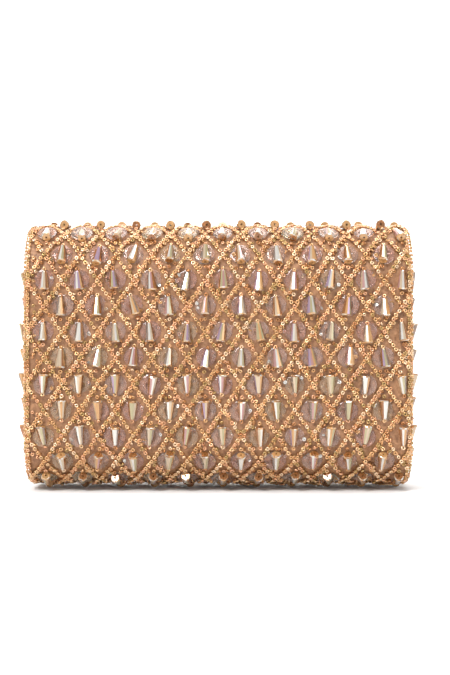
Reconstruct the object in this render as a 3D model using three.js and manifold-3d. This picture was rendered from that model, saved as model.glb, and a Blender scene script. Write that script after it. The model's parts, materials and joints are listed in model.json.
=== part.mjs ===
// Beaded evening clutch with a full-front flap, as separate sewn and fitted pieces.
// Millimetres. X runs along the bag, -Y is the front, +Z is up, and the bag stands on Z = 0.
// The side profile is drawn once, at the outer face of the cover fabric, and every layer is an offset of it.
import * as THREE from "three";
import { mergeVertices } from "three/addons/utils/BufferGeometryUtils.js";
import Module from "manifold-3d";

const wasm = await Module();
wasm.setup();

// ---- Driving dimensions ----
const HEIGHT = 152.8; // floor to the highest beads
const DEPTH = 66.6; // over the beads, front to back
const PANEL_WIDTH = 210; // beaded panels, without their bead edging
const BEAD_HEIGHT = 5.3; // crystals over the cover fabric
const SEED_HEIGHT = 2.9; // seed beads over the cover fabric
const BASE_BEAD_HEIGHT = 4; // pressed into the padding where the bag stands
const FRONT_ROLL_R = 28; // profile radii at the cover fabric
const BACK_ROLL_R = 14;
const GAP = 0.3; // between neighbouring layers
const FABRIC_T = 0.6;
const BOARD_T = 1.2;
const PADDING_T = 3.7;
const SNAP_SPACE = 3.4; // between flap lining and front panel, filled by the snap
const HEM_ANGLE = 70; // how far the flap wraps under the front roll, degrees from horizontal
const BASE_ANGLE = 74; // where the base panel starts under the front roll
const FRONT_END_ANGLE = 84; // where the front panel ends inside the roll
const MOUTH_Z = 118.5; // top edge of the front panel
const SNAP_Z = 46; // height of the magnetic snap
const EDGING_WIDTH = 2; // bead edging along each side of the panels
const EDGING_IN = 2.4; // how far the edging reaches in and out from the cover face
const EDGING_OUT = 2.6;
const GUSSET_SEED_T = 2.6;
const DIAMOND_WIDTH = 19.58; // bead lattice, with one crystal in every diamond
const ROW = 14.11; // half a diamond's height
const LATTICE_X = 2.4; // one column of crystals stands here
const CRYSTAL_MID_Z = 67.3; // the crystals' wide ends face this height on the front
const CRYSTAL = { length: 10.2, wideR: 2.5, narrowR: 1.4, sides: 6 };

// ---- Profile: places worked out from the dimensions ----
const FRONT_Y = -(DEPTH / 2 - BEAD_HEIGHT); // cover face at the front
const BACK_Y = -FRONT_Y;
const BASE_Z = BASE_BEAD_HEIGHT; // cover face under the base
const TOP_ROLL_R = BACK_Y; // the top is a half circle
const TOP_C = { y: 0, z: HEIGHT - BEAD_HEIGHT - TOP_ROLL_R };
const FRONT_C = { y: FRONT_Y + FRONT_ROLL_R, z: BASE_Z + FRONT_ROLL_R };
const BACK_C = { y: BACK_Y - BACK_ROLL_R, z: BASE_Z + BACK_ROLL_R };
const HINGE_Z = TOP_C.z; // the flap folds where the top roll meets the flat back
const FOLD_GAP = 0.15; // half the gap at the fold

// ---- Layers: distance from the cover face, outwards positive ----
const BEADS = { in: GAP, out: BEAD_HEIGHT };
const SEEDS = { in: GAP, out: SEED_HEIGHT };
const COVER = { in: -FABRIC_T, out: 0 };
const BOARD = { in: COVER.in - GAP - BOARD_T, out: COVER.in - GAP };
const LINING = { in: BOARD.in - GAP - FABRIC_T, out: BOARD.in - GAP };
const FRONT_COVER = { in: LINING.in - SNAP_SPACE - FABRIC_T, out: LINING.in - SNAP_SPACE };
const FRONT_BOARD = { in: FRONT_COVER.in - GAP - BOARD_T, out: FRONT_COVER.in - GAP };
const FRONT_LINING = { in: FRONT_BOARD.in - GAP - FABRIC_T, out: FRONT_BOARD.in - GAP };
const PADDING = { in: BOARD.in - GAP - PADDING_T, out: BOARD.in - GAP };
const BASE_LINING = { in: PADDING.in - GAP - FABRIC_T, out: PADDING.in - GAP };
const EDGING = { in: -EDGING_IN, out: EDGING_OUT };
const FOLD_STRIP = { in: LINING.in - GAP - FABRIC_T, out: LINING.in - GAP };

// ---- Widths, measured from the middle ----
const HALF_PANEL = PANEL_WIDTH / 2;
const HALF_INNER = 101;
const GUSSET_LINING_X = HALF_INNER + GAP;
const GUSSET_BOARD_X = GUSSET_LINING_X + FABRIC_T + GAP;
const GUSSET_COVER_X = GUSSET_BOARD_X + BOARD_T + GAP;
const GUSSET_BEADS_X = GUSSET_COVER_X + FABRIC_T + GAP;
const EDGING_X = HALF_PANEL + GAP;

// ---- Materials ----
const material = (color, roughness, metalness) =>
  new THREE.MeshStandardMaterial({ color, roughness, metalness });
const beadGold = () => material(0xd9a468, 0.3, 0.6);
const coverSatin = () => material(0xb08c76, 0.7, 0);
const liningSatin = () => material(0xdcc3a0, 0.45, 0);
const boardCard = () => material(0x9c8262, 0.9, 0);
const foam = () => material(0xe6e0d2, 0.95, 0);
const goldMetal = () => material(0xd8ae62, 0.25, 1);
const magnetBlack = () => material(0x3a3a3c, 0.5, 0.6);
const steel = () => material(0xb9bcc0, 0.4, 1);

// ---- Shape helpers ----
const radians = THREE.MathUtils.degToRad;

// Points [y, z] on an arc, angles in degrees from +Y towards +Z.
function arc(centre, radius, from, to, steps) {
  return Array.from({ length: steps + 1 }, (_, i) => {
    const angle = radians(from + ((to - from) * i) / steps);
    return [centre.y + radius * Math.cos(angle), centre.z + radius * Math.sin(angle)];
  });
}

// The flap's line at a distance from the cover face: fold, top roll, front and front roll to the hem.
const flapLine = (offset) => [
  [BACK_Y + offset, HINGE_Z + FOLD_GAP],
  ...arc(TOP_C, TOP_ROLL_R + offset, 6, 180, 18),
  ...arc(FRONT_C, FRONT_ROLL_R + offset, 180, 180 + HEM_ANGLE, 8),
];

// The base's line: from under the front roll, along the flat to the end of the back roll.
const baseLine = (offset) => [
  ...arc(FRONT_C, FRONT_ROLL_R + offset, 180 + BASE_ANGLE, 270, 3),
  ...arc(BACK_C, BACK_ROLL_R + offset, 270, 360, 8),
];

// The front panel's line: from the mouth down into the front roll.
const frontLine = (offset) => [
  [FRONT_Y - offset, MOUTH_Z],
  ...arc(FRONT_C, FRONT_ROLL_R + offset, 180, 180 + FRONT_END_ANGLE, 9),
];

// A closed [y, z] outline as a solid from x to x + width.
function prism(outline, x, width) {
  const shape = new THREE.Shape(outline.map(([y, z]) => new THREE.Vector2(y, z)));
  const geometry = new THREE.ExtrudeGeometry(shape, { depth: width, bevelEnabled: false });
  const axes = new THREE.Matrix4().makeBasis(
    new THREE.Vector3(0, 1, 0),
    new THREE.Vector3(0, 0, 1),
    new THREE.Vector3(1, 0, 0),
  );
  return geometry.applyMatrix4(axes.setPosition(x, 0, 0));
}

// The sheet between two offsets of a line, centred across the bag.
const sheet = (line, layer, halfWidth) =>
  prism([...line(layer.out), ...line(layer.in).reverse()], -halfWidth, 2 * halfWidth);

// The same sheet as a narrow strip along one side: side is -1 for left and 1 for right.
function sideStrip(line, layer, innerX, width, side) {
  const x = side > 0 ? innerX : -innerX - width;
  return prism([...line(layer.out), ...line(layer.in).reverse()], x, width);
}

// A box between two corners.
function block(low, high) {
  const size = high.map((value, i) => value - low[i]);
  return new THREE.BoxGeometry(...size).translate(...low.map((value, i) => value + size[i] / 2));
}

// A disc or ring about an axis along Y, from its profile [radius, y].
function turned(profile, z) {
  const points = profile.map(([r, y]) => new THREE.Vector2(r, y));
  return new THREE.LatheGeometry(points, 32).translate(0, 0, z);
}

function toSolid(geometry) {
  const bare = geometry.clone();
  bare.deleteAttribute("normal");
  bare.deleteAttribute("uv");
  const merged = mergeVertices(bare.index ? bare.toNonIndexed() : bare, 1e-4);
  const mesh = new wasm.Mesh({
    numProp: 3,
    vertProperties: merged.attributes.position.array,
    triVerts: new Uint32Array(merged.index.array),
  });
  return new wasm.Manifold(mesh);
}

function toGeometry(solid) {
  const mesh = solid.getMesh();
  const made = new THREE.BufferGeometry();
  made.setAttribute("position", new THREE.BufferAttribute(mesh.vertProperties, 3));
  made.setIndex(new THREE.BufferAttribute(mesh.triVerts, 1));
  made.computeVertexNormals();
  return made;
}

const cut = (geometry, ...tools) =>
  toGeometry(tools.reduce((solid, tool) => solid.subtract(toSolid(tool)), toSolid(geometry)));

// ---- Crystals ----
// Place [y, z], onward direction and outward direction on the cover face, by distance from the hem up the front,
// over the top and down the back.
const FRONT_LENGTH = radians(HEM_ANGLE) * FRONT_ROLL_R;
const STRAIGHT = HINGE_Z - FRONT_C.z;
const TOP_LENGTH = Math.PI * TOP_ROLL_R;

function onArc(centre, radius, angle) {
  const [cos, sin] = [Math.cos(angle), Math.sin(angle)];
  return { at: [centre.y + radius * cos, centre.z + radius * sin], onward: [sin, -cos], outward: [cos, sin] };
}

function onCover(distance) {
  if (distance < FRONT_LENGTH) {
    return onArc(FRONT_C, FRONT_ROLL_R, radians(180 + HEM_ANGLE) - distance / FRONT_ROLL_R);
  }
  const up = distance - FRONT_LENGTH;
  if (up < STRAIGHT) return { at: [FRONT_Y, FRONT_C.z + up], onward: [0, 1], outward: [-1, 0] };
  const over = up - STRAIGHT;
  if (over < TOP_LENGTH) return onArc(TOP_C, TOP_ROLL_R, Math.PI - over / TOP_ROLL_R);
  return { at: [BACK_Y, HINGE_Z - (over - TOP_LENGTH)], onward: [0, -1], outward: [1, 0] };
}

// One tapered crystal lying on the cover face. wide is 1 when its wide end is onward and -1 when it isn't.
function crystal(position, onward, outward, wide) {
  const lean = Math.atan((CRYSTAL.wideR - CRYSTAL.narrowR) / CRYSTAL.length);
  const shape = new THREE.CylinderGeometry(CRYSTAL.wideR, CRYSTAL.narrowR, CRYSTAL.length, CRYSTAL.sides);
  const axis = onward.clone().multiplyScalar(wide);
  const side = new THREE.Vector3().crossVectors(axis, outward);
  const place = position.clone().addScaledVector(outward, GAP + (CRYSTAL.wideR + CRYSTAL.narrowR) / 2);
  return shape
    .rotateX(lean)
    .applyMatrix4(new THREE.Matrix4().makeBasis(side, axis, outward).setPosition(place));
}

const withCrystals = (geometry, crystals) =>
  toGeometry(wasm.Manifold.union([toSolid(geometry), ...crystals.map(toSolid)]));

// Middles of the diamonds as [across, onward], in staggered rows.
function latticeMiddles(acrossMiddle, onwardStart, halfWidth, low, high) {
  const middles = [];
  for (let row = Math.ceil((low - onwardStart) / ROW); onwardStart + row * ROW <= high; row++) {
    const shift = row % 2 === 0 ? 0 : DIAMOND_WIDTH / 2;
    for (let column = -12; column <= 12; column++) {
      const across = acrossMiddle + shift + column * DIAMOND_WIDTH;
      if (Math.abs(across) <= halfWidth) middles.push([across, onwardStart + row * ROW]);
    }
  }
  return middles;
}

const MIDDLE_DISTANCE = FRONT_LENGTH + CRYSTAL_MID_Z - FRONT_C.z;
const BACK_START = FRONT_LENGTH + STRAIGHT + TOP_LENGTH;
const BACK_END = BACK_START + HINGE_Z - BACK_C.z;

// Crystals of the beaded cloth between two distances from the hem.
function wrapCrystals(low, high) {
  const margin = CRYSTAL.length / 2 + 1;
  const middles = latticeMiddles(
    LATTICE_X, MIDDLE_DISTANCE - ROW / 2, HALF_PANEL - 4, low + margin, high - margin,
  );
  return middles.map(([x, distance]) => {
    const { at, onward, outward } = onCover(distance);
    const wide = distance < MIDDLE_DISTANCE || distance > (BACK_START + BACK_END) / 2 ? 1 : -1;
    return crystal(
      new THREE.Vector3(x, ...at), new THREE.Vector3(0, ...onward), new THREE.Vector3(0, ...outward), wide,
    );
  });
}

const bag = new THREE.Group();
const body = new THREE.Group();
const flap = new THREE.Group();
bag.add(body, flap);

function piece(parent, name, geometry, finish) {
  const mesh = new THREE.Mesh(geometry, finish);
  mesh.name = name;
  parent.add(mesh);
}

// ---- Snap places: the flap lining's inner face and the front cover's outer face ----
const STUD_FACE_Y = FRONT_Y - LINING.in + GAP;
const SOCKET_FACE_Y = FRONT_Y - FRONT_COVER.out - GAP;
const STUD_T = 0.8;
const STUD_R = 7.5;
const BOSS_BASE_R = 2.2;
const BOSS_TIP_R = 1.6;
const BOSS_LENGTH = 1.5;
const SOCKET_T = 1.7;
const SOCKET_R = 8;
const SOCKET_HOLE_R = 3.2;
const SOCKET_PLATE_T = 0.5;
const MAGNET_R = 6.6;
const MAGNET_HOLE_R = 4;
const WASHER_R = 8.5;
const WASHER_T = 0.8;

// A washer let into a board: the layer's middle is where it lies.
const layerMiddleY = (layer) => FRONT_Y - (layer.in + layer.out) / 2;

function washer(layer) {
  const y = layerMiddleY(layer);
  const half = WASHER_T / 2;
  return turned([[2, y - half], [WASHER_R, y - half], [WASHER_R, y + half], [2, y + half], [2, y - half]], SNAP_Z);
}

function washerHole(layer) {
  const y = layerMiddleY(layer);
  const reach = BOARD_T;
  const radius = WASHER_R + GAP;
  return turned([[0, y - reach], [radius, y - reach], [radius, y + reach], [0, y + reach]], SNAP_Z);
}

// ---- Flap ----
const flapBeads = withCrystals(sheet(flapLine, SEEDS, HALF_PANEL), wrapCrystals(0, BACK_START));
piece(flap, "flap_beadwork", flapBeads, beadGold());
piece(flap, "flap_cover", sheet(flapLine, COVER, HALF_PANEL), coverSatin());
piece(flap, "flap_board", cut(sheet(flapLine, BOARD, HALF_PANEL), washerHole(BOARD)), boardCard());
piece(flap, "flap_lining", sheet(flapLine, LINING, HALF_PANEL), liningSatin());
for (const [name, side] of [["flap_left_edging", -1], ["flap_right_edging", 1]]) {
  piece(flap, name, sideStrip(flapLine, EDGING, EDGING_X, EDGING_WIDTH, side), beadGold());
}
piece(
  flap,
  "snap_stud",
  turned(
    [
      [0, STUD_FACE_Y],
      [STUD_R, STUD_FACE_Y],
      [STUD_R, STUD_FACE_Y + STUD_T],
      [BOSS_BASE_R, STUD_FACE_Y + STUD_T],
      [BOSS_TIP_R, STUD_FACE_Y + STUD_T + BOSS_LENGTH],
      [0, STUD_FACE_Y + STUD_T + BOSS_LENGTH],
    ],
    SNAP_Z,
  ),
  goldMetal(),
);
piece(flap, "stud_washer", washer(BOARD), steel());

// ---- Back panel: from the end of the back roll up to the fold ----
const BACK_LOW_Z = BACK_C.z + GAP;
const BACK_TOP_Z = HINGE_Z - FOLD_GAP;

function backSheet(layer, halfWidth, low, high) {
  return block([-halfWidth, BACK_Y + layer.in, low], [halfWidth, BACK_Y + layer.out, high]);
}

const backBeads = withCrystals(
  backSheet(SEEDS, HALF_PANEL, BACK_LOW_Z, BACK_TOP_Z),
  wrapCrystals(BACK_START, BACK_END),
);
piece(body, "back_beadwork", backBeads, beadGold());
piece(body, "back_cover", backSheet(COVER, HALF_PANEL, BACK_LOW_Z, BACK_TOP_Z), coverSatin());
piece(body, "back_board", backSheet(BOARD, HALF_PANEL, BACK_LOW_Z, BACK_TOP_Z), boardCard());
piece(body, "back_lining", backSheet(LINING, HALF_INNER, BACK_LOW_Z, BACK_TOP_Z), liningSatin());
const FOLD_STRIP_HEIGHT = 14;
piece(
  body,
  "fold_strip",
  backSheet(FOLD_STRIP, HALF_INNER - 1, BACK_TOP_Z - FOLD_STRIP_HEIGHT, BACK_TOP_Z),
  liningSatin(),
);

// ---- Base ----
// The beads under the base are pressed level where the bag stands.
const BASE_LIFT_ANGLE = 360 - THREE.MathUtils.radToDeg(Math.asin(BACK_C.z / (BACK_ROLL_R + BEADS.out)));
const BASE_BEADS_OUTER = [
  [FRONT_C.y + (FRONT_ROLL_R + BEADS.out) * Math.cos(radians(180 + BASE_ANGLE)), 0],
  ...arc(BACK_C, BACK_ROLL_R + BEADS.out, BASE_LIFT_ANGLE, 360, 7),
];
piece(
  body,
  "base_beadwork",
  prism([...BASE_BEADS_OUTER, ...baseLine(BEADS.in).reverse()], -HALF_PANEL, PANEL_WIDTH),
  beadGold(),
);
piece(body, "base_cover", sheet(baseLine, COVER, HALF_PANEL), coverSatin());
piece(body, "base_board", sheet(baseLine, BOARD, HALF_PANEL), boardCard());
const PADDING_END = 335; // padding and base lining stop on the back roll
const paddingLine = (offset) => [
  ...arc(FRONT_C, FRONT_ROLL_R + offset, 180 + BASE_ANGLE, 270, 3),
  ...arc(BACK_C, BACK_ROLL_R + offset, 270, PADDING_END, 5),
];
const baseLiningLine = (offset) => arc(BACK_C, BACK_ROLL_R + offset, 270, PADDING_END, 5);
const BASE_LINING_FRONT = FRONT_C.y + 1;
piece(body, "base_padding", sheet(paddingLine, PADDING, HALF_INNER), foam());
piece(
  body,
  "base_lining",
  prism(
    [
      [BASE_LINING_FRONT, BASE_Z - BASE_LINING.out],
      ...baseLiningLine(BASE_LINING.out),
      ...baseLiningLine(BASE_LINING.in).reverse(),
      [BASE_LINING_FRONT, BASE_Z - BASE_LINING.in],
    ],
    -HALF_INNER,
    2 * HALF_INNER,
  ),
  liningSatin(),
);

// ---- Front panel under the flap ----
piece(body, "front_cover", sheet(frontLine, FRONT_COVER, HALF_INNER), liningSatin());
const frontBoard = cut(sheet(frontLine, FRONT_BOARD, HALF_INNER), washerHole(FRONT_BOARD));
piece(body, "front_board", frontBoard, boardCard());
piece(body, "front_lining", sheet(frontLine, FRONT_LINING, HALF_INNER), liningSatin());

// The binding is a channel over the top edge of the front panel.
const BINDING_LEG = 6;
const BINDING_T = 0.5;
const bindingFront = FRONT_Y - FRONT_COVER.out - GAP;
const bindingBack = FRONT_Y - FRONT_LINING.in + GAP;
const bindingTop = MOUTH_Z + GAP + BINDING_T;
piece(
  body,
  "mouth_binding",
  prism(
    [
      [bindingFront - BINDING_T, MOUTH_Z - BINDING_LEG],
      [bindingFront, MOUTH_Z - BINDING_LEG],
      [bindingFront, MOUTH_Z + GAP],
      [bindingBack, MOUTH_Z + GAP],
      [bindingBack, MOUTH_Z - BINDING_LEG],
      [bindingBack + BINDING_T, MOUTH_Z - BINDING_LEG],
      [bindingBack + BINDING_T, bindingTop],
      [bindingFront - BINDING_T, bindingTop],
    ],
    -HALF_INNER,
    2 * HALF_INNER,
  ),
  coverSatin(),
);

// The magnet lies in a cup, and the stud's boss enters the hole through both.
const SOCKET_CUP_Y = SOCKET_FACE_Y - SOCKET_T;
piece(
  body,
  "snap_socket",
  turned(
    [
      [SOCKET_HOLE_R, SOCKET_CUP_Y],
      [SOCKET_R, SOCKET_CUP_Y],
      [SOCKET_R, SOCKET_FACE_Y],
      [MAGNET_R + GAP, SOCKET_FACE_Y],
      [MAGNET_R + GAP, SOCKET_CUP_Y + SOCKET_PLATE_T],
      [SOCKET_HOLE_R, SOCKET_CUP_Y + SOCKET_PLATE_T],
      [SOCKET_HOLE_R, SOCKET_CUP_Y],
    ],
    SNAP_Z,
  ),
  goldMetal(),
);
const MAGNET_FRONT_Y = SOCKET_CUP_Y + SOCKET_PLATE_T + GAP;
piece(
  body,
  "snap_magnet",
  turned(
    [
      [MAGNET_HOLE_R, MAGNET_FRONT_Y],
      [MAGNET_R, MAGNET_FRONT_Y],
      [MAGNET_R, SOCKET_FACE_Y],
      [MAGNET_HOLE_R, SOCKET_FACE_Y],
      [MAGNET_HOLE_R, MAGNET_FRONT_Y],
    ],
    SNAP_Z,
  ),
  magnetBlack(),
);
piece(body, "socket_washer", washer(FRONT_BOARD), steel());

// ---- Slip pocket on the back lining: a flat pocket open at its top ----
const POCKET = { halfWidth: 55, low: 45, high: 95, depth: 2, wall: 0.4 };
const pocketBackY = BACK_Y + LINING.in - GAP;
const pocketFrontY = pocketBackY - POCKET.depth;
piece(
  body,
  "slip_pocket",
  cut(
    block([-POCKET.halfWidth, pocketFrontY, POCKET.low], [POCKET.halfWidth, pocketBackY, POCKET.high]),
    block(
      [-POCKET.halfWidth + 2, pocketFrontY + POCKET.wall, POCKET.low + 2],
      [POCKET.halfWidth - 2, pocketBackY - POCKET.wall, POCKET.high + 1],
    ),
  ),
  liningSatin(),
);

// ---- Gussets: flat side walls with a domed top that fills the end of the roll ----
const GUSSET_SIDE = LINING.in - GAP; // clear of the back and base linings
const GUSSET_FRONT = FRONT_COVER.out; // level with the front panel
const DOME_TOP_Z = HINGE_Z + 15;
const DOME_R = TOP_ROLL_R + GUSSET_FRONT;
const domeAngle = THREE.MathUtils.radToDeg(Math.asin((DOME_TOP_Z - TOP_C.z) / DOME_R));
const GUSSET_OUTLINE = [
  ...arc(TOP_C, DOME_R, 180 - domeAngle, 180, 5),
  ...arc(FRONT_C, FRONT_ROLL_R + GUSSET_FRONT, 180, 180 + HEM_ANGLE, 6),
  ...arc(FRONT_C, FRONT_ROLL_R + GUSSET_SIDE, 180 + BASE_ANGLE + 2, 270, 2),
  ...arc(BACK_C, BACK_ROLL_R + GUSSET_SIDE, 270, 360, 6),
  [BACK_Y + GUSSET_SIDE, HINGE_Z - 10],
  ...arc(TOP_C, DOME_R, 0, domeAngle, 5),
];

function gusset(side, innerX, thickness) {
  return prism(GUSSET_OUTLINE, side > 0 ? innerX : -innerX - thickness, thickness);
}

const GUSSET_LATTICE = { y: 0, z: 46.3, halfWidth: 17, low: 17, high: DOME_TOP_Z - 8 };

// The gusset's crystals stand with their wide ends up.
function gussetCrystals(side) {
  const middles = latticeMiddles(
    GUSSET_LATTICE.y, GUSSET_LATTICE.z, GUSSET_LATTICE.halfWidth, GUSSET_LATTICE.low, GUSSET_LATTICE.high,
  );
  const outward = new THREE.Vector3(side, 0, 0);
  const face = side * (GUSSET_BEADS_X - GAP);
  return middles.map(([y, z]) =>
    crystal(new THREE.Vector3(face, y, z), new THREE.Vector3(0, 0, 1), outward, 1),
  );
}

for (const [label, side] of [["left", -1], ["right", 1]]) {
  const gussetBeads = withCrystals(gusset(side, GUSSET_BEADS_X, GUSSET_SEED_T), gussetCrystals(side));
  piece(body, `${label}_gusset_beadwork`, gussetBeads, beadGold());
  piece(body, `${label}_gusset_cover`, gusset(side, GUSSET_COVER_X, FABRIC_T), coverSatin());
  piece(body, `${label}_gusset_board`, gusset(side, GUSSET_BOARD_X, BOARD_T), boardCard());
  piece(body, `${label}_gusset_lining`, gusset(side, GUSSET_LINING_X, FABRIC_T), liningSatin());
}

// ---- Bead edging along the sides of the back and base ----
const backEdgingLine = (offset) => [
  ...baseLine(offset),
  [BACK_Y + offset, BACK_TOP_Z],
];
for (const [name, side] of [["back_left_edging", -1], ["back_right_edging", 1]]) {
  piece(body, name, sideStrip(backEdgingLine, EDGING, EDGING_X, EDGING_WIDTH, side), beadGold());
}

export default bag;
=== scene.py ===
"""Beaded evening clutch: beads, crystals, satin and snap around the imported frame. Metres; -Y is the front, +Z is up."""
import json
import math

import bpy
import numpy as np
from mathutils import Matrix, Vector


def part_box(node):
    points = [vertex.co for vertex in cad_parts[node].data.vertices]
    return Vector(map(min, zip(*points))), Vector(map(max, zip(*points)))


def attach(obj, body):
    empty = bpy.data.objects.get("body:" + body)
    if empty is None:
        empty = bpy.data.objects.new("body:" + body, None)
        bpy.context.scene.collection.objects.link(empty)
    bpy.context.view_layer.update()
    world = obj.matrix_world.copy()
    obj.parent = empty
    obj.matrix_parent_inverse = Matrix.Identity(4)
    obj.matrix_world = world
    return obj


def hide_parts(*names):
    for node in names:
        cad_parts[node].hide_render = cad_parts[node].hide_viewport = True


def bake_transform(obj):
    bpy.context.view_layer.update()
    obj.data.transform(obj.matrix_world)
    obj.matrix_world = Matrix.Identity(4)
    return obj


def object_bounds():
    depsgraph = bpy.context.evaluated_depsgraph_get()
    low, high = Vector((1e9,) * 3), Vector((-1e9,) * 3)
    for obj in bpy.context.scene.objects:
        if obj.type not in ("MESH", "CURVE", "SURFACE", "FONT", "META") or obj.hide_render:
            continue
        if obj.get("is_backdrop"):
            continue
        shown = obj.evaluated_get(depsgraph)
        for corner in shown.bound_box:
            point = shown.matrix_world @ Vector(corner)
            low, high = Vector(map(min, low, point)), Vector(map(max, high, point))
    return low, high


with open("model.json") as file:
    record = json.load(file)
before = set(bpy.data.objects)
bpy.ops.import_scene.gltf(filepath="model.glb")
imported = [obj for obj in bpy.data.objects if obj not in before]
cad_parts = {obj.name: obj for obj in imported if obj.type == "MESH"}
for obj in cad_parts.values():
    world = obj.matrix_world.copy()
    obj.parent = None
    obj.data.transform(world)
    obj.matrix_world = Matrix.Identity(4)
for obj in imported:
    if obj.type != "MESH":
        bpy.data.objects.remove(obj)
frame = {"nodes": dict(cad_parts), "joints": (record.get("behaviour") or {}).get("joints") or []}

MM = 0.001
cad_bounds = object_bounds()
rng = np.random.default_rng(11)

# ---- Places read from the frame ----
cover_low, cover_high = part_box("flap_cover")
base_low, base_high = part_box("base_cover")
gusset_low, gusset_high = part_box("right_gusset_beadwork")
gusset_cover_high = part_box("right_gusset_cover")[1]
FOLD_Y, FOLD_Z = frame["joints"][0]["pos_m"][1:]
FRONT_Y = cover_low[1]  # outer face of the cover fabric
BACK_Y = cover_high[1]
TOP_R = (BACK_Y - FRONT_Y) / 2
BASE_Z = base_low[2]
BACK_R = base_high[2] - BASE_Z
FRONT_R = 28 * MM  # front roll, as in the frame's design
HALF_PANEL = cover_high[0]
HALF_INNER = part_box("front_cover")[1][0]
MOUTH_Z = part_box("front_cover")[1][2]
HEM_ANGLE = math.radians(70)
BASE_ANGLE = math.radians(74)
FRONT_END_ANGLE = math.radians(84)

# ---- Layers: distances from the cover fabric's outer face ----
FABRIC_T = 0.6 * MM
LINING_H = -2.4 * MM
FRONT_COVER_H = -6.4 * MM
FRONT_LINING_H = -8.8 * MM
BASE_LINING_H = -6.4 * MM
FOLD_STRIP_H = -3.3 * MM

# ---- Beadwork ----
DIAMOND_W = 19.58 * MM  # width of a lattice diamond
ROW = 14.11 * MM  # half its height
LATTICE_U = 2.4 * MM  # a column of crystals stands this far right of the middle
LATTICE_MID_Z = 67.3 * MM  # the crystals' wide ends face this height on the front
SEEDS_PER_EDGE = 6
SEED_R = 1.25 * MM
PAILLETTE_R = 5.9 * MM
FLOOR_CLEAR = 0.15 * MM
CRYSTAL_LENGTH = 10.2 * MM
CRYSTAL_WIDE_R = 2.7 * MM
CRYSTAL_NARROW_R = 1.4 * MM
FACETS = 12
CAMERA_X = 3.6 * MM
CAMERA_Z = 85.6 * MM
CAMERA_DISTANCE = 0.640  # from the front face of the cover fabric
LENS_MM = 62.4
SENSOR_MM = 36


# ---- Side profile ----
class Profile:
    """The closed side outline of the cover fabric. Distance along it starts under the front roll and runs up the
    front, over the top, down the back and along the base. Arcs turn clockwise seen from the right."""

    def __init__(self):
        self.parts = []
        self.length = 0.0

    def add(self, length, point):
        start = self.length
        self.parts.append((start, length, point))
        self.length += length
        return start

    def arc(self, y, z, radius, start_angle, sweep):
        def point(s):
            angle = start_angle - s / radius
            cos, sin = np.cos(angle), np.sin(angle)
            return y + radius * cos, z + radius * sin, sin, -cos, cos, sin

        return self.add(radius * sweep, point)

    def line(self, y, z, ty, tz, length):
        def point(s):
            one = np.ones_like(s)
            return y + ty * s, z + tz * s, ty * one, tz * one, -tz * one, ty * one

        return self.add(length, point)

    def at(self, s):
        """Place, direction and outward normal as y and z parts, for each distance."""
        s = np.mod(np.asarray(s, float), self.length)
        out = np.zeros((6, *s.shape))
        for start, length, point in self.parts:
            here = (s >= start) & (s <= start + length)
            out[:, here] = point(s[here] - start)
        return out


profile = Profile()
profile.arc(FRONT_Y + FRONT_R, BASE_Z + FRONT_R, FRONT_R, 1.5 * math.pi, math.pi / 2)
V_FRONT = profile.line(FRONT_Y, BASE_Z + FRONT_R, 0, 1, FOLD_Z - BASE_Z - FRONT_R)
V_TOP = profile.arc(0, FOLD_Z, TOP_R, math.pi, math.pi)
V_FOLD = profile.line(BACK_Y, FOLD_Z, 0, -1, FOLD_Z - BASE_Z - BACK_R)
V_BACK_ROLL = profile.arc(BACK_Y - BACK_R, BASE_Z + BACK_R, BACK_R, 0, math.pi / 2)
V_FLAT = profile.line(BACK_Y - BACK_R, BASE_Z, -1, 0, BACK_Y - BACK_R - FRONT_Y - FRONT_R)
V_HEM = FRONT_R * (math.pi / 2 - HEM_ANGLE)
V_BASE_FRONT = profile.length + FRONT_R * (math.pi / 2 - BASE_ANGLE)
V_MID = V_FRONT + LATTICE_MID_Z - BASE_Z - FRONT_R
V_BACK_MID = (V_FOLD + V_BACK_ROLL) / 2
FOLD_GAP = 0.15 * MM


def stack(x, y, z):
    return np.stack(np.broadcast_arrays(x, y, z), axis=-1).astype(float)


def wrap(u, v):
    """Place and directions right, onward and outward on the cover fabric that goes round the bag."""
    y, z, ty, tz, ny, nz = profile.at(v)
    zero = np.zeros_like(y)
    return stack(u, y, z), stack(zero + 1, zero, zero), stack(zero, ty, tz), stack(zero, ny, nz)


GUSSET_BULGES = {-1: 3.8 * MM, 1: 3.3 * MM}  # the right one bows out less
GUSSET_HALF = 24 * MM
GUSSET_MID_Z = 46.3 * MM  # one row of the gussets' crystals is this high
GUSSET_LOW = gusset_low[2]
GUSSET_TOP = gusset_high[2]


def gusset(side, face_x, bulge):
    """The same for a gusset: side is 1 for the right and -1 for the left."""

    def swell(u, v):
        across = np.clip(1 - (u / GUSSET_HALF) ** 2, 0, 1)
        height = np.clip((v - GUSSET_LOW) / (GUSSET_TOP - GUSSET_LOW), 0, 1)
        return bulge * across * np.sin(np.pi * (0.12 + 0.76 * height))

    def place(u, v):
        u, v = np.broadcast_arrays(np.asarray(u, float), np.asarray(v, float))
        step = 0.5 * MM
        slope_u = (swell(u + step, v) - swell(u - step, v)) / (2 * step)
        slope_v = (swell(u, v + step) - swell(u, v - step)) / (2 * step)
        zero, one = np.zeros_like(u), np.ones_like(u)
        right = unit(stack(side * slope_u, side * one, zero))
        up = unit(stack(side * slope_v, zero, one))
        return stack(side * (face_x + swell(u, v)), side * u, v), right, up, unit(np.cross(right, up))

    return place


def unit(vectors):
    return vectors / np.maximum(np.linalg.norm(vectors, axis=-1, keepdims=True), 1e-12)


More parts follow.
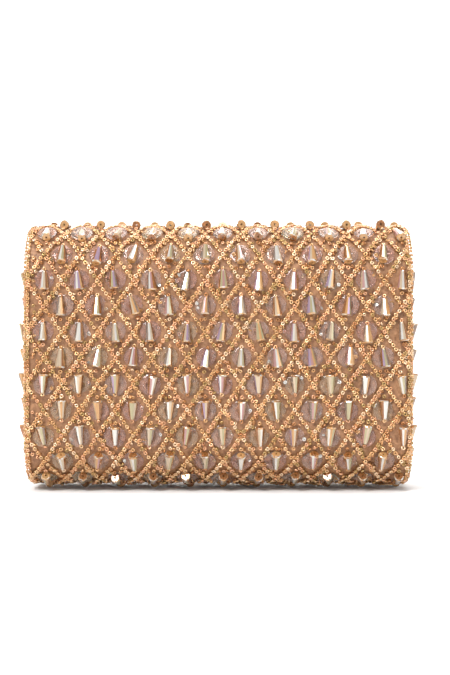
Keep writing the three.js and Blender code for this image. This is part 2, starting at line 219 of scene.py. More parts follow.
# ---- Materials ----
def new_material(name, color, roughness, **sockets):
    """A Principled material with constant values on its own sockets."""
    material = bpy.data.materials.new(name)
    material.use_nodes = True
    shader = material.node_tree.nodes["Principled BSDF"]
    shader.inputs["Base Color"].default_value = (*color, 1)
    shader.inputs["Roughness"].default_value = roughness
    for key, value in sockets.items():
        shader.inputs[key.replace("_", " ")].default_value = value
    return material


def node(material, kind, **inputs):
    made = material.node_tree.nodes.new(kind)
    for key, value in inputs.items():
        made.inputs[key.replace("_", " ")].default_value = value
    return made


def link(material, a, out, b, into):
    material.node_tree.links.new(a.outputs[out], b.inputs[into])


def ramp(material, stops):
    made = material.node_tree.nodes.new("ShaderNodeValToRGB")
    elements = made.color_ramp.elements
    while len(elements) < len(stops):
        elements.new(0.5)
    for element, (position, color) in zip(elements, stops):
        element.position = position
        element.color = (*color, 1)
    return made


def satin(name, dark, light, weave_m, roughness, sheen, mottling_m):
    """Woven satin: fine warp and weft bump, mottled colour and rougher patches."""
    material = new_material(name, light, roughness, Sheen_Weight=sheen, Sheen_Roughness=0.35)
    shader = material.node_tree.nodes["Principled BSDF"]
    place = node(material, "ShaderNodeTexCoord")
    mottle = node(material, "ShaderNodeTexNoise", Scale=1 / mottling_m, Detail=4.0, Roughness=0.6)
    link(material, place, "Object", mottle, "Vector")
    colors = ramp(material, [(0.3, dark), (0.68, light)])
    link(material, mottle, "Fac", colors, "Fac")
    link(material, colors, "Color", shader, "Base Color")
    warp = node(material, "ShaderNodeTexWave", Scale=0.5 / weave_m, Distortion=1.5, Detail=1.0)
    warp.bands_direction = "X"
    weft = node(material, "ShaderNodeTexWave", Scale=0.28 / weave_m, Distortion=1.0, Detail=1.0)
    weft.bands_direction = "DIAGONAL"
    for wave in (warp, weft):
        link(material, place, "Object", wave, "Vector")
    both = material.node_tree.nodes.new("ShaderNodeMath")
    both.operation = "ADD"
    link(material, warp, "Fac", both, 0)
    link(material, weft, "Fac", both, 1)
    bump = node(material, "ShaderNodeBump", Strength=0.25, Distance=0.00008)
    link(material, both, "Value", bump, "Height")
    link(material, bump, "Normal", shader, "Normal")
    rough = node(material, "ShaderNodeMapRange", To_Min=roughness - 0.08, To_Max=roughness + 0.1)
    link(material, mottle, "Fac", rough, "Value")
    link(material, rough, "Result", shader, "Roughness")
    return material


def metal(name, color, roughness):
    """Plated metal with fine turning marks and handling haze."""
    material = new_material(name, color, roughness, Metallic=1.0)
    shader = material.node_tree.nodes["Principled BSDF"]
    place = node(material, "ShaderNodeTexCoord")
    haze = node(material, "ShaderNodeTexNoise", Scale=900.0, Detail=3.0)
    rings = node(material, "ShaderNodeTexWave", Scale=1400.0, Distortion=2.0)
    rings.wave_type = "RINGS"
    rings.rings_direction = "Y"
    rough = node(material, "ShaderNodeMapRange", To_Min=roughness - 0.06, To_Max=roughness + 0.14)
    bump = node(material, "ShaderNodeBump", Strength=0.15, Distance=0.00003)
    link(material, place, "Object", haze, "Vector")
    link(material, place, "Object", rings, "Vector")
    link(material, haze, "Fac", rough, "Value")
    link(material, rough, "Result", shader, "Roughness")
    link(material, rings, "Fac", bump, "Height")
    link(material, bump, "Normal", shader, "Normal")
    return material


def seed_materials():
    """Gold glass in six shades, then the lining of the holes, dark brown as painted shade inside the holes."""
    shades = [
        ("pale_gold", (0.80, 0.50, 0.25)),
        ("gold", (0.66, 0.36, 0.15)),
        ("peach", (0.75, 0.39, 0.20)),
        ("copper", (0.48, 0.21, 0.07)),
        ("olive_gold", (0.47, 0.29, 0.10)),
        ("champagne", (0.86, 0.61, 0.38)),
    ]
    made = [
        new_material(
            f"seed_{name}", color, 0.24, Metallic=0.7, Coat_Weight=0.8, Coat_Roughness=0.08, IOR=1.5,
        )
        for name, color in shades
    ]
    # The hole lining is dark brown: painted shade inside the holes.
    lining = new_material("seed_hole_lining", (0.34, 0.16, 0.05), 0.35, Metallic=0.8)
    return made + [lining]


def crystal_materials():
    """Champagne glass: bright facets that serve as painted highlight, tinted clear ones, some with a rainbow coating,
    darker honey, amber and smoke ones that also serve as painted shade, then the hole, dark brown as painted shade.
    """
    facets = [
        # Silver and cream are bright copies of the glass: on the facet turned towards the key light they are a
        # painted highlight. Honey, amber and smoke on the flanks are painted shade.
        ("silver", (0.76, 0.73, 0.67), 0.35, 0.35, 0.0),
        ("cream", (0.72, 0.57, 0.40), 0.45, 0.25, 0.0),
        ("lime", (0.56, 0.49, 0.28), 0.45, 0.25, 300.0),
        ("rose", (0.58, 0.33, 0.30), 0.45, 0.25, 300.0),
        ("lilac", (0.48, 0.35, 0.46), 0.45, 0.25, 300.0),
        ("honey", (0.78, 0.44, 0.18), 0.5, 0.15, 0.0),
        ("amber", (0.50, 0.20, 0.06), 0.6, 0.1, 0.0),
        ("smoke", (0.46, 0.35, 0.28), 0.65, 0.1, 0.0),
    ]
    made = [
        new_material(
            f"crystal_{name}", color, 0.07, Transmission_Weight=clear, Metallic=metallic, IOR=1.56,
            Coat_Weight=0.4, Coat_Roughness=0.03, Thin_Film_Thickness=film, Thin_Film_IOR=1.5,
        )
        for name, color, clear, metallic, film in facets
    ]
    # The hole is dark brown: painted shade inside the drilled hole.
    hole = new_material("crystal_hole", (0.38, 0.17, 0.04), 0.3, Metallic=0.3)
    return made + [hole]


def sequin_materials():
    tints = [
        ("frost", (0.96, 0.80, 0.70)),
        ("pink", (0.96, 0.74, 0.64)),
        ("pearl", (0.96, 0.82, 0.62)),
    ]
    made = []
    for name, color in tints:
        material = new_material(
            f"sequin_{name}", color, 0.06, Transmission_Weight=0.9, IOR=1.3, Coat_Weight=0.35, Coat_Roughness=0.05,
        )
        place = node(material, "ShaderNodeTexCoord")
        dents = node(material, "ShaderNodeTexNoise", Scale=420.0, Detail=2.0)
        bump = node(material, "ShaderNodeBump", Strength=0.6, Distance=0.0006)
        link(material, place, "Object", dents, "Vector")
        link(material, dents, "Fac", bump, "Height")
        link(material, bump, "Normal", material.node_tree.nodes["Principled BSDF"], "Normal")
        made.append(material)
    return made


SEEDS = seed_materials()
CRYSTALS = crystal_materials()
SEQUINS = sequin_materials()
FLAKES = [*SEQUINS, CRYSTALS[0], CRYSTALS[5]]
COVER = satin("cover_satin", (0.15, 0.058, 0.02), (0.43, 0.22, 0.105), 0.25 * MM, 0.45, 0.1, 1.8 * MM)
LINING = satin("lining_satin", (0.46, 0.31, 0.18), (0.56, 0.39, 0.24), 0.22 * MM, 0.4, 0.2, 30 * MM)
THREAD = satin("thread", (0.36, 0.22, 0.11), (0.46, 0.30, 0.16), 0.2 * MM, 0.5, 0.2, 2 * MM)
GOLD = metal("plated_gold", (0.86, 0.66, 0.36), 0.2)
DARK_METAL = metal("magnet_nickel", (0.25, 0.24, 0.24), 0.35)
ZINC = metal("washer_zinc", (0.62, 0.63, 0.65), 0.35)


# ---- Mesh helpers ----
def make_object(name, vertices, quads, materials, slots=None):
    """One mesh object from arrays. slots gives each face's material."""
    mesh = bpy.data.meshes.new(name)
    count = len(quads)
    mesh.vertices.add(len(vertices))
    mesh.vertices.foreach_set("co", np.asarray(vertices, np.float32).ravel())
    mesh.loops.add(count * 4)
    mesh.loops.foreach_set("vertex_index", np.asarray(quads, np.int32).ravel())
    mesh.polygons.add(count)
    mesh.polygons.foreach_set("loop_start", np.arange(count, dtype=np.int32) * 4)
    for material in materials:
        mesh.materials.append(material)
    if slots is not None:
        mesh.polygons.foreach_set("material_index", np.asarray(slots, np.int32))
    mesh.update(calc_edges=True)
    mesh.validate()
    mesh.polygons.foreach_set("use_smooth", np.ones(len(mesh.polygons), bool))
    made = bpy.data.objects.new(name, mesh)
    bpy.context.scene.collection.objects.link(made)
    return made


def revolve(points, segments):
    """A closed ring of [radius, z] points turned about Z, as vertices and quads."""
    count = len(points)
    turns = 2 * np.pi * np.arange(segments) / segments
    radius, height = np.array(points).T
    vertices = stack(
        radius * np.cos(turns)[:, None], radius * np.sin(turns)[:, None], height + 0 * turns[:, None]
    ).reshape(-1, 3)
    i, j = np.meshgrid(np.arange(segments), np.arange(count), indexing="ij")
    ni, nj = (i + 1) % segments, (j + 1) % count
    quads = np.stack([i * count + j, ni * count + j, ni * count + nj, i * count + nj], axis=-1)
    return vertices, quads.reshape(-1, 4)


def frames(places, axes, scales, spin=None):
    """Rotation, scale and place of each copy: its Z along an axis, spun about it."""
    axes = unit(axes)
    helper = np.where(np.abs(axes[:, :1]) < 0.8, [[1.0, 0, 0]], [[0, 1.0, 0]])
    x = unit(np.cross(helper, axes))
    y = np.cross(axes, x)
    if spin is not None:
        cos, sin = np.cos(spin)[:, None], np.sin(spin)[:, None]
        x, y = cos * x + sin * y, cos * y - sin * x
    matrix = np.stack([x, y, axes], axis=-1) * np.asarray(scales)[:, None, None]
    return matrix, places


def scatter(name, template, copies, materials, slot_of):
    """Copies of a template as one mesh. slot_of gives the face slots of every copy, shaped (copies, faces)."""
    vertices, quads = template
    matrix, places = copies
    points = np.einsum("nij,vj->nvi", matrix, vertices) + places[:, None]
    faces = quads[None] + (np.arange(len(places)) * len(vertices))[:, None, None]
    return make_object(name, points.reshape(-1, 3), faces.reshape(-1, 4), materials, slot_of.ravel())


def grid_object(name, place, u, v, height, thickness, materials):
    """A sheet of that thickness whose outer face lies at a height over a surface. u and v are 2-D arrays."""
    origin, _, _, normal = place(u, v)
    outer = origin + normal * np.asarray(height)[..., None]
    inner = outer - normal * thickness
    rows, columns = u.shape
    count = rows * columns
    i, j = np.meshgrid(np.arange(rows - 1), np.arange(columns - 1), indexing="ij")
    a = (i * columns + j).ravel()
    front = np.stack([a, a + 1, a + columns + 1, a + columns], axis=-1)
    back = front[:, ::-1] + count
    ring = np.concatenate([
        np.arange(columns),
        np.arange(2, rows + 1) * columns - 1,
        (rows - 1) * columns + np.arange(columns - 2, -1, -1),
        np.arange(rows - 2, 0, -1) * columns,
    ])
    onward = np.roll(ring, -1)
    rim = np.stack([onward, ring, ring + count, onward + count], axis=-1)
    vertices = np.concatenate([outer.reshape(-1, 3), inner.reshape(-1, 3)])
    return make_object(name, vertices, np.concatenate([front, back, rim]), materials)


def span(start, end, step):
    return np.linspace(start, end, max(2, int(round(abs(end - start) / step)) + 1))


def place_piece(piece, body, slot, *nodes):
    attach(piece, body)
    if nodes:
        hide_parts(*nodes)
    return piece


# ---- Bead templates ----
def seed_template():
    """A round seed bead of radius 1, its hole along Z. The last faces of each turn line the hole."""
    angles = np.radians([-150, -90, -30, 30, 90, 150])
    ring = [(0.66 + 0.33 * math.cos(a), 0.40 * math.sin(a)) for a in angles]
    vertices, quads = revolve(ring, 10)
    in_hole = np.tile(np.arange(len(ring)) == len(ring) - 1, 10)
    return (vertices, quads), in_hole


def crystal_template():
    """A tapered, faceted crystal along Z with its wide end up, a bevelled rim and a drilled hole."""
    half = CRYSTAL_LENGTH / 2
    hole = 0.55 * MM
    ring = [
        (hole, -half),
        (CRYSTAL_NARROW_R * 0.82, -half),
        (CRYSTAL_NARROW_R, -half + 0.45 * MM),
        (CRYSTAL_WIDE_R, half - 0.8 * MM),
        (CRYSTAL_WIDE_R * 0.9, half - 0.2 * MM),
        (CRYSTAL_WIDE_R * 0.8, half),
        (hole, half),
    ]
    vertices, quads = revolve(ring, FACETS)
    kinds = np.tile(np.array(["end", "bevel", "facet", "rim", "rim", "end", "hole"]), FACETS)
    return (vertices, quads), kinds


def sequin_template():
    """A small dished disc of radius 1 with a hole."""
    ring = [(0.18, 0.0), (0.55, 0.05), (1.0, 0.22), (1.0, 0.28), (0.55, 0.12), (0.18, 0.07)]
    return revolve(ring, 10)


def paillette_template():
    """A large flat disc of radius 1 with a small hole and a rounded rim."""
    thin = 0.018
    ring = [(0.09, 0), (0.985, 0.0), (1.0, thin), (0.985, 2 * thin), (0.09, 2 * thin)]
    return revolve(ring, 28)


SEED, SEED_HOLE = seed_template()
CRYSTAL, CRYSTAL_KINDS = crystal_template()
SEQUIN = sequin_template()
PAILLETTE = paillette_template()
SEED_SHARES = [0.18, 0.26, 0.22, 0.12, 0.10, 0.12]


def seed_slots(count, shares=SEED_SHARES):
    shade = rng.choice(len(shares), count, p=shares)
    # Faces in the hole take slot 6, the painted shade.
    return np.where(SEED_HOLE[None], 6, shade[:, None])


def crystal_slots_painted_light(turned, way):
    """Material of every facet by where it faces: a painted highlight on the facet left of the top, tinted glass right
    of it, and darker honey, amber and smoke glass on the flanks as painted shade.
    turned is each crystal's turn about its own axis; way is 1 where its wide end is onward."""
    count = len(turned)
    middle = (np.arange(FACETS) + 0.5) * 2 * np.pi / FACETS + turned[:, None]
    left = -way[:, None] * ((middle + np.pi) % (2 * np.pi) - np.pi)
    painted_highlight_facets = rng.choice(6, (count, 1), p=[0.42, 0.30, 0.12, 0.05, 0.05, 0.06])
    seconds = rng.choice(6, (count, 1), p=[0.16, 0.32, 0.18, 0.08, 0.06, 0.20])
    lefts = rng.choice([1, 3, 4, 6, 7], (count, 1), p=[0.14, 0.1, 0.1, 0.3, 0.36])
    painted_shade_flanks = rng.choice([5, 6], (count, 1), p=[0.35, 0.65])
    step = 2 * np.pi / FACETS
    # Facets left of the top take the bright painted highlight; the flanks, the right one most of all, take darker
    # glass as painted shade.
    facets = np.where(left > 0, np.where(left < step, painted_highlight_facets, lefts), np.where(left > -step, seconds, painted_shade_flanks))
    thirds = rng.choice([1, 2, 5, 6, 7], (count, 1), p=[0.12, 0.12, 0.26, 0.35, 0.15])
    facets = np.where((left <= -step) & (left > -2 * step), thirds, facets)
    slots = np.repeat(facets, len(CRYSTAL_KINDS) // FACETS, axis=1)
    slots = np.where(CRYSTAL_KINDS == "rim", rng.choice([0, 1, 5, 6], slots.shape, p=[0.2, 0.25, 0.35, 0.2]), slots)
    slots = np.where(CRYSTAL_KINDS == "end", rng.choice([5, 6], (count, 1), p=[0.6, 0.4]), slots)
    # Hole faces take slot 8, the painted shade.
    return np.where(CRYSTAL_KINDS == "hole", 8, slots)


def tilted(right, onward, outward, lean, heading=None):
    """Bead axes that lean from outward by an angle, towards a heading or any way."""
    count = len(outward)
    heading = rng.uniform(0, 2 * np.pi, count) if heading is None else heading
    side = np.cos(heading)[:, None] * right + np.sin(heading)[:, None] * onward
    return np.cos(lean)[:, None] * outward + np.sin(lean)[:, None] * side


class Beadwork:
    """The lattice, crystals and sequins of one panel. inside tells which u, v lie on the panel, less a margin."""

    def __init__(self, label, body, place, u_mid, v_zero, u_range, v_range, inside, wide_up, nodes):
        self.label, self.body, self.place, self.keep = label, body, place, inside
        self.u_mid, self.v_zero, self.wide_up = u_mid, v_zero, wide_up
        self.columns = range(
            math.floor((u_range[0] - u_mid) / (DIAMOND_W / 2)) - 1,
            math.ceil((u_range[1] - u_mid) / (DIAMOND_W / 2)) + 2,
        )
        self.rows = range(
            math.floor((v_range[0] - v_zero) / ROW) - 1, math.ceil((v_range[1] - v_zero) / ROW) + 2
        )
        self.nodes = nodes
        self.pieces = []

    def uv(self, column, row):
        return self.u_mid + column * DIAMOND_W / 2, self.v_zero + row * ROW

    def seeds(self, suffix, u, v, height, axis_of, scale, margin=0.9 * MM, shares=SEED_SHARES):
        chosen = self.keep(u, v, margin)
        u, v, height, scale = u[chosen], v[chosen], height[chosen], scale[chosen]
        if not len(u):
            return
        origin, right, onward, outward = self.place(u, v)
        axes = axis_of(chosen, right, onward, outward)
        places = origin + outward * height[:, None]
        places[:, 2] = np.maximum(places[:, 2], SEED_R * 1.06)
        copies = frames(places, axes, scale)
        piece = scatter(f"{self.label}_{suffix}", SEED, copies, SEEDS, seed_slots(len(u), shares))
        self.pieces.append(place_piece(piece, self.body, "beadwork"))

    def strings(self, suffix, slant, skip_crossings, height, partner_share):
        """Seed beads along every lattice line that slants one way: a row that stands with its holes outwards, the
        beads lying between them, and part of a second row beside it."""
        steps = np.arange(self.rows[0] * SEEDS_PER_EDGE, self.rows[-1] * SEEDS_PER_EDGE + 1)
        starts = range(self.columns[0] - len(self.rows), self.columns[-1] + len(self.rows))
        row = np.tile(steps / SEEDS_PER_EDGE, len([c for c in starts if c % 2]))
        start = np.repeat([c for c in starts if c % 2], len(steps))
        u, v = self.uv(start + slant * row, row)
        crossing = np.tile(steps % SEEDS_PER_EDGE == 0, len(u) // len(steps))
        everywhere = np.ones(len(u), bool)
        edge = math.hypot(DIAMOND_W / 2, ROW)
        line = np.array([slant * DIAMOND_W / 2, ROW]) / edge
        across = np.array([line[1], -line[0]])
        pitch = edge / SEEDS_PER_EDGE
        heading = math.atan2(line[1], line[0])

        def row_of(name, chosen, along, aside, height, lean, towards, scale, shares):
            count = int(chosen.sum())
            along = along + rng.normal(0, 0.1 * MM, count)
            aside = aside + rng.normal(0, 0.09 * MM, count)
            at_u = u[chosen] + line[0] * along + across[0] * aside
            at_v = v[chosen] + line[1] * along + across[1] * aside
            lean = np.radians(lean(count))
            towards = towards(count)
            self.seeds(
                name, at_u, at_v, height + rng.normal(0, 0.1 * MM, count),
                lambda kept, *d: tilted(*d, lean[kept], towards[kept]),
                SEED_R * rng.uniform(scale - 0.06, scale + 0.05, count), shares=shares,
            )

        anyway = lambda n: rng.uniform(0, 2 * np.pi, n)
        along_line = lambda n: heading + rng.normal(0, 0.25, n)
        beside = lambda n: heading - np.pi / 2 + rng.normal(0, 0.6, n)
        row_of(
            f"{suffix}_seeds", ~crossing if skip_crossings else everywhere, 0, 0, height,
            lambda n: np.abs(rng.normal(0, 17, n)), anyway, 1.0, [0.28, 0.28, 0.18, 0.02, 0.08, 0.16],
        )
        # The lying beads sit lower and take mostly copper and olive shades: painted shade between the standing beads.
        row_of(
            f"{suffix}_lying_seeds", everywhere, pitch / 2, 0, height - 1.3 * MM,
            lambda n: rng.normal(84, 8, n), along_line, 0.9, [0.0, 0.22, 0.08, 0.50, 0.20, 0.0],
        )
        # The second row takes darker shades than the first: painted shade beside the line.
        row_of(
            f"{suffix}_partner_seeds", rng.random(len(u)) < partner_share, pitch * 0.55, 1.55 * MM, 0.95 * MM,
            lambda n: np.abs(rng.normal(48, 20, n)), beside, 0.96, [0.08, 0.28, 0.22, 0.24, 0.14, 0.04],
        )

    def centres(self, margin):
        """Middles of the diamonds, with the crystals' direction along v: 1 where the wide end is onward."""
        at = [self.uv(c, r) for c in self.columns for r in self.rows if (c + r) % 2 == 0]
        u, v = np.array(at).T
        chosen = self.keep(u, v, margin)
        u, v = u[chosen], v[chosen]
        return u, v, self.wide_up(v)

    def crystals(self):
        u, v, way = self.centres(2.4 * MM)
        fits = self.keep(u, v + 0.42 * CRYSTAL_LENGTH, 0) & self.keep(u, v - 0.42 * CRYSTAL_LENGTH, 0)
        u, v, way = u[fits], v[fits], way[fits]
        count = len(u)
        u = u + rng.normal(0, 0.35 * MM, count)
        v = v + rng.normal(0, 0.4 * MM, count)
        origin, right, onward, outward = self.place(u, v)
        swing = np.radians(rng.normal(0, 5, count))
        axis = way[:, None] * (np.cos(swing)[:, None] * onward + np.sin(swing)[:, None] * right)
        slope = math.atan2(CRYSTAL_WIDE_R - CRYSTAL_NARROW_R, CRYSTAL_LENGTH)
        axis = unit(axis + math.tan(slope) * outward + rng.normal(0, 0.04, (count, 1)) * outward)
        height = (CRYSTAL_WIDE_R + CRYSTAL_NARROW_R) / 2 + 0.05 * MM
        middle = origin + outward * height
        reach, upright = CRYSTAL_LENGTH / 2 * axis[:, 2], np.sqrt(1 - axis[:, 2] ** 2)
        below = np.maximum(CRYSTAL_WIDE_R * upright - reach, CRYSTAL_NARROW_R * upright + reach) * 1.05
        middle[:, 2] = np.maximum(middle[:, 2], below + FLOOR_CLEAR)
        turned = rng.normal(0, 0.14, count)
        outward_spin = turned + np.arctan2(*self.facing(axis, outward))
        copies = frames(middle, axis, rng.uniform(0.97, 1.05, count), outward_spin)
        piece = scatter(f"{self.label}_crystals", CRYSTAL, copies, CRYSTALS, crystal_slots_painted_light(turned, way))
        piece.data.polygons.foreach_set("use_smooth", np.zeros(len(piece.data.polygons), bool))
        self.pieces.append(place_piece(piece, self.body, "beadwork"))
        for suffix, reach, height, lean_to in (
            ("narrow_end", -CRYSTAL_LENGTH / 2 - 1.1 * MM, 1.5 * MM, 30),
            ("wide_end", CRYSTAL_LENGTH / 2 + 1.9 * MM, 1.5 * MM, 25),
        ):
            at_v = v + way * reach * np.cos(swing)
            at_u = u + way * reach * np.sin(swing)
            lean = np.radians(np.abs(rng.normal(lean_to, 16, count)))
            self.seeds(
                f"{suffix}_seeds", at_u, at_v, np.full(count, height), lambda chosen, *d: tilted(*d, lean[chosen]),
                SEED_R * rng.uniform(0.95, 1.08, count), margin=0.6 * MM, shares=[0.14, 0.30, 0.24, 0.20, 0.04, 0.08],
            )

    def clusters(self):
        """Loose seeds filling the half diamonds along the sides, and dark seeds beside the wide ends whose copper and
        olive shades are painted shade round the crystals' ends.
        """
        at = [self.uv(c, r) for c in self.columns for r in self.rows if (c + r) % 2 == 0]
        u, v = np.array(at).T
        lacks = self.keep(u, v, -2.5 * MM) & ~self.keep(u, v, 2.6 * MM)
        u, v = (np.repeat(a[lacks], 16) for a in (u, v))
        u = u + rng.uniform(-6.5, 6.5, len(u)) * MM
        v = v + rng.uniform(-7.5, 7.5, len(v)) * MM
        self.loose("side_seeds", u, v, 1.0 * MM, [0.16, 0.28, 0.22, 0.18, 0.12, 0.04], 3.0 * MM)
        # Dark seeds beside the wide ends: painted shade round the crystals' ends.
        u, v, way = self.centres(2.4 * MM)
        u, v, way = (np.repeat(a, 3) for a in (u, v, way))
        u = u + rng.choice([-1, 1], len(u)) * rng.uniform(1.6, 3.6, len(u)) * MM
        v = v + way * rng.uniform(4.6, 8.2, len(v)) * MM
        self.loose("tucked_seeds", u, v, 0.7 * MM, [0.02, 0.18, 0.12, 0.44, 0.24, 0.0], 1.5 * MM)

    def loose(self, suffix, u, v, height, shares, margin):
        lean = np.radians(np.abs(rng.normal(40, 28, len(u))))
        self.seeds(
            suffix, u, v, height + rng.uniform(-0.1, 0.5, len(u)) * MM, lambda kept, *d: tilted(*d, lean[kept]),
            SEED_R * rng.uniform(0.82, 0.98, len(u)), margin=margin, shares=shares,
        )

    @staticmethod
    def facing(axis, outward):
        """The outward direction in each copy's own X and Y, for arctan2: y first."""
        matrix, _ = frames(outward, axis, np.ones(len(axis)))
        local = np.einsum("nij,ni->nj", matrix, outward)
        return local[:, 1], local[:, 0]

    def sequins(self):
        """A large clear paillette under every crystal, and small flakes beside it."""
        u, v, way = self.centres(2.4 * MM)
        fits = self.keep(u, v, PAILLETTE_R * 0.8)
        u, v, way = u[fits], v[fits], way[fits]
        count = len(u)
        origin, right, onward, outward = self.place(u + rng.normal(0, 0.4 * MM, count), v - way * 0.6 * MM)
        axes = tilted(right, onward, outward, np.radians(np.abs(rng.normal(0, 4, count))))
        lift = np.where(outward[:, 2] > 0.6, 1.9, 0.35)[:, None] * MM  # pushed up where the fabric turns over the top
        copies = frames(origin + outward * lift, axes, rng.uniform(0.92, 1.05, count) * PAILLETTE_R)
        tint = rng.choice(3, count, p=[0.45, 0.35, 0.20])
        slots = np.repeat(tint[:, None], len(PAILLETTE[1]), axis=1)
        piece = scatter(f"{self.label}_paillettes", PAILLETTE, copies, SEQUINS, slots)
        self.pieces.append(place_piece(piece, self.body, "beadwork"))
        side = rng.choice([-1, 1], 2 * count)
        at_u = np.tile(u, 2) + side * rng.uniform(3.6, 5.6, 2 * count) * MM
        at_v = np.tile(v, 2) + rng.uniform(-3.2, 3.2, 2 * count) * MM
        chosen = self.keep(at_u, at_v, 1.4 * MM) & (rng.random(2 * count) < 0.75)
        origin, right, onward, outward = self.place(at_u[chosen], at_v[chosen])
        count = len(origin)
        axes = tilted(right, onward, outward, np.radians(np.abs(rng.normal(30, 16, count))))
        copies = frames(
            origin + outward * rng.uniform(0.7, 1.2, count)[:, None] * MM, axes,
            rng.uniform(0.9, 1.3, count) * MM, rng.uniform(0, 6.28, count),
        )
        tint = rng.choice(5, count, p=[0.25, 0.25, 0.15, 0.2, 0.15])
        slots = np.repeat(tint[:, None], len(SEQUIN[1]), axis=1)
        piece = scatter(f"{self.label}_flakes", SEQUIN, copies, FLAKES, slots)
        self.pieces.append(place_piece(piece, self.body, "beadwork"))

    def make(self):
        self.strings("rising", 1, False, 1.9 * MM, 0.9)
        self.strings("falling", -1, True, 1.5 * MM, 0.45)
        self.crystals()
        self.clusters()
        self.sequins()
        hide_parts(*self.nodes)


def wrap_inside(v_start, v_end):
    def inside(u, v, margin):
        return (np.abs(u) < HALF_PANEL - margin) & (v > v_start + margin) & (v < v_end - margin)

    return inside


def wide_end(v):
    """On the front the wide ends face the middle; on the back they face away from it."""
    up = (v < V_MID) | (v > V_BACK_MID)
    return np.where(up, 1.0, -1.0)


def gusset_edges(z, inset):
    """Front and back limits of the gusset at each height, less an inset."""
    front = np.full_like(z, FRONT_Y - FRONT_COVER_H)
    back = np.full_like(z, BACK_Y - 3.3 * MM)
    roll_r = FRONT_R + FRONT_COVER_H
    low = np.clip(BASE_Z + FRONT_R - z, 0, roll_r * 0.98)
    front = np.where(low > 0, FRONT_Y + FRONT_R - np.sqrt(roll_r**2 - low**2), front)
    low_r = BACK_R - 3.3 * MM
    low = np.clip(BASE_Z + BACK_R - z, 0, low_r * 0.98)
    back = np.where(low > 0, BACK_Y - BACK_R + np.sqrt(low_r**2 - low**2), back)
    dome_r = TOP_R + FRONT_COVER_H
    high = np.clip(z - FOLD_Z, 0, dome_r * 0.98)
    reach = np.sqrt(dome_r**2 - high**2)
    shoulder = np.clip((z - FOLD_Z + 10 * MM) / (10 * MM), 0, 1)
    front = np.where(high > 0, -reach, front)
    back = np.where(high > 0, reach, back - shoulder * (back - dome_r))
    return front + inset, back - inset


def gusset_inside(side):
    def inside(u, v, margin):
        front, back = gusset_edges(v, margin)
        y = side * u
        return (y > front) & (y < back) & (v > GUSSET_LOW + margin) & (v < GUSSET_TOP - margin)

    return inside


def lattice_relief(u, v, u_mid, v_zero, depth):
    """Fabric pulled down along the stitched lattice lines and slack inside the diamonds, from -depth to 0."""
    a = (u - u_mid) / (DIAMOND_W / 2)
    b = (v - v_zero) / ROW
    rising = np.abs(((a - b + 1) / 2) % 1 - 0.5) * 2
    falling = np.abs(((a + b + 1) / 2) % 1 - 0.5) * 2
    return -depth * np.maximum(rising, falling) ** 3


ROW_ZERO = V_MID - ROW / 2


def cover_sheet(name, body, v_start, v_end, node_name):
    """The outer satin of one panel, pulled down along the stitched lattice."""
    u = span(-HALF_PANEL, HALF_PANEL, DIAMOND_W / 8)
    v = span(v_start, v_end, ROW / 8)
    uu, vv = np.meshgrid(u, v)
    height = lattice_relief(uu, vv, LATTICE_U, ROW_ZERO, 0.25 * MM)
    piece = grid_object(name, wrap, uu, vv, height, 0.4 * MM, [COVER])
    place_piece(piece, body, "cover_satin", node_name)


def make_beadwork():
    ranges = {
        "flap": ("flap", V_HEM, V_FOLD, ["flap_beadwork"]),
        "back": ("body", V_FOLD, V_BACK_ROLL, ["back_beadwork"]),
        "base": ("body", V_BACK_ROLL, V_BASE_FRONT, ["base_beadwork"]),
    }
    for label, (body, start, end, nodes) in ranges.items():
        Beadwork(
            label, body, wrap, LATTICE_U, ROW_ZERO, (-HALF_PANEL, HALF_PANEL), (start, end),
            wrap_inside(start, end), wide_end, nodes,
        ).make()
        cover_sheet(f"{label}_satin", body, start + FOLD_GAP, end - FOLD_GAP, f"{label}_cover")
    for label, side in (("left", -1), ("right", 1)):
        place = gusset(side, gusset_cover_high[0], GUSSET_BULGES[side])
        Beadwork(
            f"{label}_gusset", "body", place, 0, GUSSET_MID_Z, (-GUSSET_HALF, GUSSET_HALF),
            (GUSSET_LOW, GUSSET_TOP), gusset_inside(side), lambda v: np.ones_like(v),
            [f"{label}_gusset_beadwork"],
        ).make()
        gusset_sheet(f"{label}_gusset_satin", side, gusset_cover_high[0], 0.5 * MM, COVER, GUSSET_BULGES[side],
                     "cover_satin", f"{label}_gusset_cover")
        gusset_sheet(f"{label}_gusset_inner_satin", side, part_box("right_gusset_lining")[1][0], 0.5 * MM, LINING, 0,
                     "lining_satin", f"{label}_gusset_lining")


def gusset_sheet(name, side, face_x, thickness, material, bulge, slot, node_name):
    v = span(GUSSET_LOW + 0.2 * MM, GUSSET_TOP - 0.2 * MM, 2 * MM)
    front, back = gusset_edges(v, 0.2 * MM)
    across = np.linspace(0, 1, 25)
    y = front[:, None] + (back - front)[:, None] * across
    u = side * y if side > 0 else side * y[:, ::-1]
    vv = np.repeat(v[:, None], len(across), axis=1)
    piece = grid_object(name, gusset(side, face_x, bulge), u, vv, np.zeros_like(u), thickness, [material])
    place_piece(piece, "body", slot, node_name)


